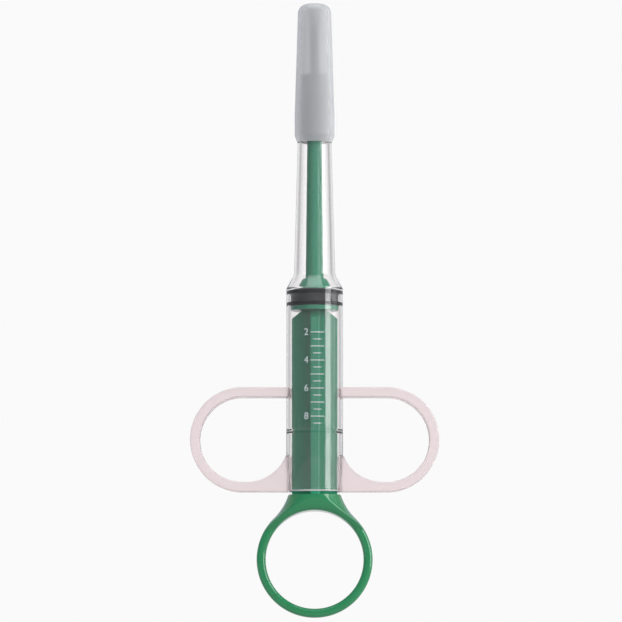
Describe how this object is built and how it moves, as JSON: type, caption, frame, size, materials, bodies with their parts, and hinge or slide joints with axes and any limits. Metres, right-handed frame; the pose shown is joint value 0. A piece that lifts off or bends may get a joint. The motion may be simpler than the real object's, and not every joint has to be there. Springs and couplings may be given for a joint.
{
  "type": "oral syringe",
  "caption": "Tablet-giving oral syringe: clear barrel with finger loops and long nozzle, ring-handled plunger with rubber seal and push rod, soft tip.",
  "frame": {"origin": "lowest point of the thumb ring, on the barrel's axis", "axes": "+Z along the barrel's axis from the thumb ring to the soft tip, +X through the right finger loop, -Y towards the viewer"},
  "size_m": [0.0826, 0.0188, 0.205],
  "materials": {
    "clear_plastic": "clear, glossy",
    "frosted_plastic": "frosted",
    "grey_silicone": "translucent, satin",
    "black_rubber": "satin",
    "green_plastic": "satin"
  },
  "bodies": {
    "barrel": {"barrel_tube": "clear_plastic", "nozzle_tube": "clear_plastic", "finger_loop_left": "frosted_plastic", "finger_loop_right": "frosted_plastic"},
    "tip": {"soft_tip": "grey_silicone"},
    "seal": {"piston_seal": "black_rubber"},
    "plunger": {"thumb_ring": "green_plastic", "ring_neck": "green_plastic", "plunger_blades": "green_plastic", "backing_disc": "green_plastic", "seal_cone": "green_plastic", "push_rod": "green_plastic", "ejector_pin": "green_plastic"}
  },
  "joints": [
    {"name": "plunger_slide", "type": "slide", "parent": "barrel", "child": "seal", "axis": [0, 0, -1], "range_m": [0, 0.0396]},
    {"name": "plunger_turn", "type": "hinge", "parent": "seal", "child": "plunger", "pos_m": [0, 0, 0.106], "axis": [0, 0, 1], "continuous": true},
    {"name": "tip_pull", "type": "slide", "parent": "barrel", "child": "tip", "axis": [0, 0, 1], "range_m": [0, 0.045]}
  ]
}
